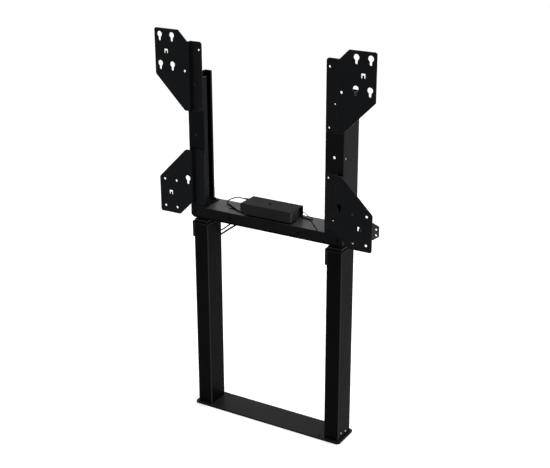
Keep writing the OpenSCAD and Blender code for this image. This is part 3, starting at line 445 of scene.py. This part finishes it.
LOWER_LEAD_ROUTE = (
    (-278, 45, 761), (-278, 45, 752), (-278, 46.4, 745), (-278, 49, 735.5), (-278.6, 49.6, 702),
    (-276.6, 49.6, 685), (-272, 49.6, 671.6), (-263.5, 49.6, 662), (-252, 49.6, 660),
    (-241, 49.6, 666.4), (-226, 49.6, 677.8), (-207, 49.6, 692.2), (-188, 49.4, 705.6),
    (-168, 48.8, 721.4), (-155.4, 47.6, 737), (-149.4, 46.4, 747), (-148, 45.8, 753),
    (-148, 45.8, 758))
STEPS_PER_POINT = 4
LEAD_SIDES = 16


def smooth_path(points):
    """Points, in metres, of a centripetal curve through all the given ones."""
    pts = [Vector(p) * MM for p in points]
    pts = [2 * pts[0] - pts[1]] + pts + [2 * pts[-1] - pts[-2]]
    path = []
    for i in range(1, len(pts) - 2):
        p0, p1, p2, p3 = pts[i - 1:i + 3]
        t0 = 0.0
        t1 = t0 + math.sqrt((p1 - p0).length)
        t2 = t1 + math.sqrt((p2 - p1).length)
        t3 = t2 + math.sqrt((p3 - p2).length)
        for k in range(STEPS_PER_POINT):
            t = t1 + (t2 - t1) * k / STEPS_PER_POINT
            a1 = (t1 - t) / (t1 - t0) * p0 + (t - t0) / (t1 - t0) * p1
            a2 = (t2 - t) / (t2 - t1) * p1 + (t - t1) / (t2 - t1) * p2
            a3 = (t3 - t) / (t3 - t2) * p2 + (t - t2) / (t3 - t2) * p3
            b1 = (t2 - t) / (t2 - t0) * a1 + (t - t0) / (t2 - t0) * a2
            b2 = (t3 - t) / (t3 - t1) * a2 + (t - t1) / (t3 - t1) * a3
            path.append((t2 - t) / (t2 - t1) * b1 + (t - t1) / (t2 - t1) * b2)
    path.append(pts[-2])
    return path


def from_bmesh(name, bm, material, body, smooth=False):
    """Piece made of the given mesh, which rides on a body and has one material."""
    bmesh.ops.recalc_face_normals(bm, faces=bm.faces)
    mesh = bpy.data.meshes.new(name)
    bm.to_mesh(mesh)
    bm.free()
    for face in mesh.polygons:
        face.use_smooth = smooth
    obj = add_object(name, mesh)
    mesh.materials.append(material)
    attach(obj, body)
    return obj


def tube_along(path, radius):
    """Closed tube along a path, with flat ends, its rings carried along without twist."""
    bm = bmesh.new()
    ahead = (path[1] - path[0]).normalized()
    across = ahead.orthogonal().normalized()
    angles = [2 * math.pi * k / LEAD_SIDES for k in range(LEAD_SIDES)]
    rings = []
    for i, at in enumerate(path):
        new_ahead = (path[min(i + 1, len(path) - 1)] - path[max(i - 1, 0)]).normalized()
        across = ahead.rotation_difference(new_ahead) @ across
        across = (across - across.dot(new_ahead) * new_ahead).normalized()
        ahead = new_ahead
        over = ahead.cross(across)
        rings.append([bm.verts.new(at + radius * (math.cos(a) * across + math.sin(a) * over))
                      for a in angles])
    for ring, next_ring in zip(rings, rings[1:]):
        for k in range(LEAD_SIDES):
            m = (k + 1) % LEAD_SIDES
            bm.faces.new((ring[k], ring[m], next_ring[m], next_ring[k]))
    bm.faces.new(rings[0])
    bm.faces.new(rings[-1])
    return bm


def free_lead(node, route, diameter):
    """Lead in place of its CAD node: a smooth tube along the route, with the CAD node hidden."""
    path = smooth_path(route)
    tube = from_bmesh(node + "_tube", tube_along(path, diameter / 2), JACKET, "carriage",
                      smooth=True)
    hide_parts(node)


# Small pieces that are only in this scene

def tie_block(bm, centre, half, axes):
    """Block with broken edges in the tie's mesh, with half sizes along the three axes."""
    corners = bmesh.ops.create_cube(bm, size=2.0)["verts"]
    for v in corners:
        v.co = (centre + v.co.x * half[0] * axes[0] + v.co.y * half[1] * axes[1]
                + v.co.z * half[2] * axes[2])
    edges = [e for e in bm.edges if all(v in corners for v in e.verts)]
    bmesh.ops.bevel(bm, geom=edges, offset=min(half) * 0.25, segments=2, affect="EDGES",
                    profile=0.6)


def cable_tie():
    """Tie round the power lead: band, head block and cut tail."""
    at = Vector((-148, -10.4, 799.3)) * MM
    along = Vector((15.6, -10.5, 0)).normalized()
    side = UP.cross(along).normalized()
    band_in = 0.00203
    band_out = 0.0028
    half_width = 0.0014
    band_section = ((band_in, -half_width), (band_out, -half_width),
                    (band_out, half_width), (band_in, half_width))
    steps = 24
    bm = bmesh.new()
    loops = []
    for k in range(steps):
        angle = 2 * math.pi * k / steps
        ray = math.cos(angle) * side + math.sin(angle) * UP
        loops.append([bm.verts.new(at + r * ray + w * along) for r, w in band_section])
    for k in range(steps):
        a = loops[k]
        b = loops[(k + 1) % steps]
        for j in range(4):
            bm.faces.new((a[j], a[(j + 1) % 4], b[(j + 1) % 4], b[j]))

    head_at = at - 0.0042 * side + 0.0004 * UP
    head_half = (0.0024, 0.0020, 0.0021)
    tie_block(bm, head_at, head_half, (along, side, UP))

    tail_way = Vector((-0.86, -0.51, 0.0))
    tail_at = at + 0.0122 * tail_way - 0.0014 * UP
    tail_half = (0.0013, 0.0068, 0.0006)
    tie_block(bm, tail_at, tail_half, (UP.cross(tail_way), tail_way, UP))
    return from_bmesh("cable_tie", bm, SCREW_BLACK, "carriage")


def carriage_box(name, low, high, bevel, material):
    """Box between two corners, with its edges broken, that rides on the carriage."""
    bm = bmesh.new()
    for v in bmesh.ops.create_cube(bm, size=1.0)["verts"]:
        v.co = Vector(low[i] + (v.co[i] + 0.5) * (high[i] - low[i]) for i in range(3))
    bmesh.ops.bevel(bm, geom=bm.edges[:], offset=bevel, segments=2, affect="EDGES", profile=0.6)
    from_bmesh(name, bm, material, "carriage")


def cover_painted_shade_and_reflection():
    """Dark strips of painted shadow round the foot of the power supply's cover, and a thin light sheet
    on its end flange that paints a reflection.
    """
    low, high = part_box("psu_cover")
    clear = 0.0001
    strip_thick = 0.0012
    strip_tall = 0.0046
    strip_from_left = 0.027
    strip_end_run = 0.040
    flange_from = 0.0012
    flange_to = 0.0135
    flange_above_strip = 0.0003
    flange_below_top = 0.0042
    flange_skin = 0.0004
    # Two near-black strips at the cover's foot, front and end, as painted shadow
    carriage_box("cover_shadow_strip_front",
                 (low.x + strip_from_left, low.y - strip_thick, low.z + clear),
                 (high.x + strip_thick, low.y - clear, low.z + strip_tall),
                 bevel=0.0002, material=SHADOW_STRIP)
    carriage_box("cover_shadow_strip_end",
                 (high.x + clear, low.y - clear, low.z + clear),
                 (high.x + strip_thick, low.y + strip_end_run, low.z + strip_tall),
                 bevel=0.0002, material=SHADOW_STRIP)
    # Thin light sheet on the end flange, a painted reflection
    carriage_box("cover_flange_painted_reflection",
                 (high.x + clear, low.y + flange_from, low.z + strip_tall + flange_above_strip),
                 (high.x + flange_skin, low.y + flange_to, high.z - flange_below_top),
                 bevel=0.0001, material=FLANGE_REFLECTION_COAT)


def foot_screws():
    """Two small plated screws low on the right column's outer face, each with a six-sided top."""
    _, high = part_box("outer_tube_right")
    head_off_tube = 0.0007
    top_off_head = 0.0008
    places = ((-0.026, 0.030), (0.008, 0.023))
    for number, (y, z) in enumerate(places, start=1):
        bm = bmesh.new()
        to_side = Matrix.Rotation(math.pi / 2, 4, "Y")
        head = Matrix.Translation((high.x + head_off_tube, y, z)) @ to_side
        top = Matrix.Translation((top_off_head, 0, 0)) @ head
        bmesh.ops.create_cone(bm, cap_ends=True, segments=32, radius1=0.0036, radius2=0.0028,
                              depth=0.0012, matrix=head)
        bmesh.ops.create_cone(bm, cap_ends=True, segments=6, radius1=0.0013, radius2=0.0013,
                              depth=0.0004, matrix=top)
        from_bmesh("foot_screw_%d" % number, bm, ZINC, "base")


cover_painted_shade_and_reflection()
foot_screws()
tie = cable_tie()
free_lead("power_lead", POWER_ROUTE, diameter=0.004)
free_lead("signal_lead", SIGNAL_ROUTE, diameter=0.0024)
free_lead("column_lead_upper", UPPER_LEAD_ROUTE, diameter=0.005)
free_lead("column_lead_lower", LOWER_LEAD_ROUTE, diameter=0.0064)


# Floor, backdrop and light

WHITE = (1.0, 1.0, 1.0, 1.0)
FLOOR_COLOUR = (0.86, 0.86, 0.86, 1.0)
FLOOR_GLOW = 0.38
DIM_SIDE = 0.30
BRIGHT_SIDE = 0.95
LIT_POINT = Vector((0.0, 0.0, 0.8))


def seen_or_mirrored(tree):
    """1 for camera, glossy and transmission rays, and 0 for the rays that only carry light."""
    path = tree.nodes.new("ShaderNodeLightPath")
    total = path.outputs["Is Camera Ray"]
    for kind in ("Is Glossy Ray", "Is Transmission Ray"):
        total = calculate(tree, "MAXIMUM", total, path.outputs[kind])
    return total


def make_floor():
    """Wide pale floor just under the base, which glows a little where it is seen or mirrored."""
    half_width = 9.0
    height = -0.0006
    corners = ((-1, -1), (1, -1), (1, 1), (-1, 1))
    mesh = bpy.data.meshes.new("floor")
    mesh.from_pydata([(x * half_width, y * half_width, height) for x, y in corners],
                     [], [(0, 1, 2, 3)])
    floor = add_object("floor", mesh)
    mat, tree, shader = new_material("pale_floor")
    shader.inputs["Base Color"].default_value = FLOOR_COLOUR
    shader.inputs["Roughness"].default_value = 0.9
    shader.inputs["Specular IOR Level"].default_value = 0.0
    shader.inputs["Emission Color"].default_value = WHITE
    glow = spread(tree, seen_or_mirrored(tree), 0.0, 1.0, 0.0, FLOOR_GLOW)
    tree.links.new(glow, shader.inputs["Emission Strength"])
    mesh.materials.append(mat)


def make_world():
    """Studio that is plain white where it is seen or mirrored. The light it sends on other rays is
    dim on the camera's side and bright elsewhere."""
    world = bpy.data.worlds.new("studio")
    bpy.context.scene.world = world
    world.use_nodes = True
    tree = world.node_tree
    tree.nodes.clear()
    out = tree.nodes.new("ShaderNodeOutputWorld")
    where = tree.nodes.new("ShaderNodeTexCoord")
    split = tree.nodes.new("ShaderNodeSeparateXYZ")
    tree.links.new(where.outputs["Generated"], split.inputs["Vector"])
    fill = tree.nodes.new("ShaderNodeBackground")
    fill.inputs["Color"].default_value = WHITE
    dim_until, bright_from = -0.75, 0.1
    fill_strength = spread(tree, split.outputs["Y"], dim_until, bright_from, DIM_SIDE, BRIGHT_SIDE)
    tree.links.new(fill_strength, fill.inputs["Strength"])
    back = tree.nodes.new("ShaderNodeBackground")
    back.inputs["Color"].default_value = WHITE
    back.inputs["Strength"].default_value = 1.0
    choose = tree.nodes.new("ShaderNodeMixShader")
    tree.links.new(seen_or_mirrored(tree), choose.inputs["Fac"])
    tree.links.new(fill.outputs["Background"], choose.inputs[1])
    tree.links.new(back.outputs["Background"], choose.inputs[2])
    tree.links.new(choose.outputs["Shader"], out.inputs["Surface"])


def softbox(name, place, size, watts):
    """Rectangular lamp that faces the middle of the lift."""
    data = bpy.data.lights.new(name, "AREA")
    data.shape = "RECTANGLE"
    data.size, data.size_y = size
    data.energy = watts
    lamp = add_object(name, data)
    lamp.location = place
    lamp.rotation_euler = (LIT_POINT - Vector(place)).to_track_quat("-Z", "Y").to_euler()


make_floor()
make_world()
softbox("key_above", place=(0.6, 0.9, 3.6), size=(3.0, 2.2), watts=70.0)
softbox("side_right", place=(3.4, 0.6, 1.6), size=(1.6, 2.4), watts=30.0)
softbox("front_low", place=(-1.2, -3.6, 2.4), size=(1.8, 1.8), watts=12.0)

bpy.context.scene.view_settings.view_transform = "Standard"
